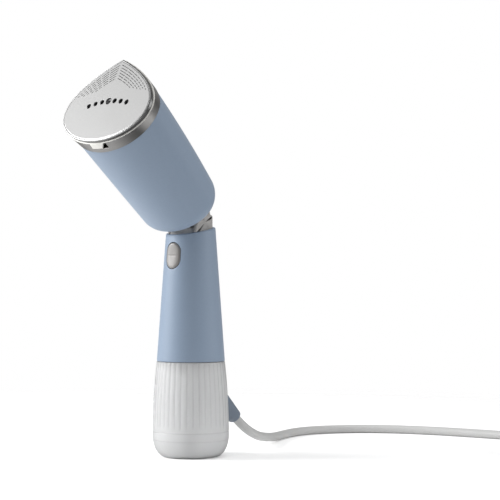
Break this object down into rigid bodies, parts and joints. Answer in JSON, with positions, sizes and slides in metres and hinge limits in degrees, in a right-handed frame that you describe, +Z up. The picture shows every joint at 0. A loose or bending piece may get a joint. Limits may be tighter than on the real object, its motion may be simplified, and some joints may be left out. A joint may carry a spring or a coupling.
{
  "type": "garment steamer",
  "caption": "Handheld garment steamer: tilting head with a pointed steam plate on a tapered handle, button, lift-off fluted tank and a mains lead with its plug.",
  "frame": {"origin": "centre of the tank's flat underside, on the surface that it stands on", "axes": "+Z up along the handle, -Y the side of the button and steam plate, +Y the side of the mains lead, X along the tilt joint's pin"},
  "size_m": [0.3293, 0.3886, 0.3089],
  "materials": {
    "tank_plastic": "translucent frosted grey, moulded flutes",
    "casing_blue": "fine matt mould texture",
    "spine_blue": "darker matt blue grey",
    "neck_grey": "satin warm grey",
    "button_grey": "satin warm grey",
    "plate_metal": "satin ceramic-like coat with a bright rolled edge",
    "collar_metal": "brushed, bright",
    "nozzle_grey": "dull grey",
    "seal_white": "white silicone",
    "cord_grey": "satin light grey sheath",
    "plug_grey": "moulded light grey",
    "tie_dark": "black strap",
    "pin_metal": "nickel plated",
    "boiler_metal": "as cast",
    "frame_plastic": "plain moulded",
    "switch_black": "black",
    "board_green": "laminate",
    "coil_copper": "varnished copper winding",
    "tube_silicone": "translucent silicone",
    "filter_grey": "sintered",
    "wire_brown": "wire sheath"
  },
  "bodies": {
    "tank": {"tank_base": "tank_plastic", "water_tank": "tank_plastic"},
    "handle": {"rear_spine": "spine_blue", "cord_gland": "spine_blue", "supply_wires": "wire_brown", "handle_casing": "casing_blue", "dock_plug": "frame_plastic", "dock_seal": "seal_white", "pickup_hose": "tube_silicone", "pickup_filter": "filter_grey", "inner_chassis": "frame_plastic", "chassis_screws": "pin_metal", "pump_body": "frame_plastic", "pump_coil": "coil_copper", "pump_mounts": "tube_silicone", "intake_tube": "tube_silicone", "outlet_tube": "tube_silicone", "circuit_board": "board_green", "board_parts": "switch_black", "microswitch": "switch_black", "cable_clamp": "frame_plastic", "clamp_screws": "pin_metal", "neck_knuckle": "neck_grey", "neck_cap": "neck_grey", "hinge_washers": "tube_silicone", "button_frame": "frame_plastic", "button_spring": "pin_metal", "cord_lead": "cord_grey", "cord_coil": "cord_grey", "coil_tie": "tie_dark", "cord_tail": "cord_grey", "plug_body": "plug_grey", "plug_pins": "pin_metal"},
    "button": {"steam_button": "button_grey"},
    "head": {"steam_plate": "plate_metal", "centre_nozzle": "nozzle_grey", "plate_seal": "seal_white", "collar": "collar_metal", "latch_tab": "seal_white", "steam_chamber": "boiler_metal", "chamber_cover": "boiler_metal", "chamber_screws": "pin_metal", "heating_element": "boiler_metal", "heater_terminals": "pin_metal", "thermostat": "switch_black", "thermal_fuse": "switch_black", "heat_shield": "frame_plastic", "steam_inlet_tube": "tube_silicone", "hinge_fork": "neck_grey", "hinge_pin": "pin_metal", "pin_covers": "neck_grey", "head_casing": "casing_blue"}
  },
  "joints": [
    {"name": "tank_release", "type": "slide", "parent": "tank", "child": "handle", "axis": [0, 0, 1], "range_m": [0, 0.09]},
    {"name": "head_tilt", "type": "hinge", "parent": "handle", "child": "head", "pos_m": [0, 0, 0.1908], "axis": [1, 0, 0], "range_deg": [-46, 0]},
    {"name": "button_press", "type": "slide", "parent": "handle", "child": "button", "axis": [0, 1, 0], "range_m": [0, 0.0015], "stiffness_N_per_m": 600, "springref_m": -0.0005, "deforming": ["button_spring"]}
  ]
}
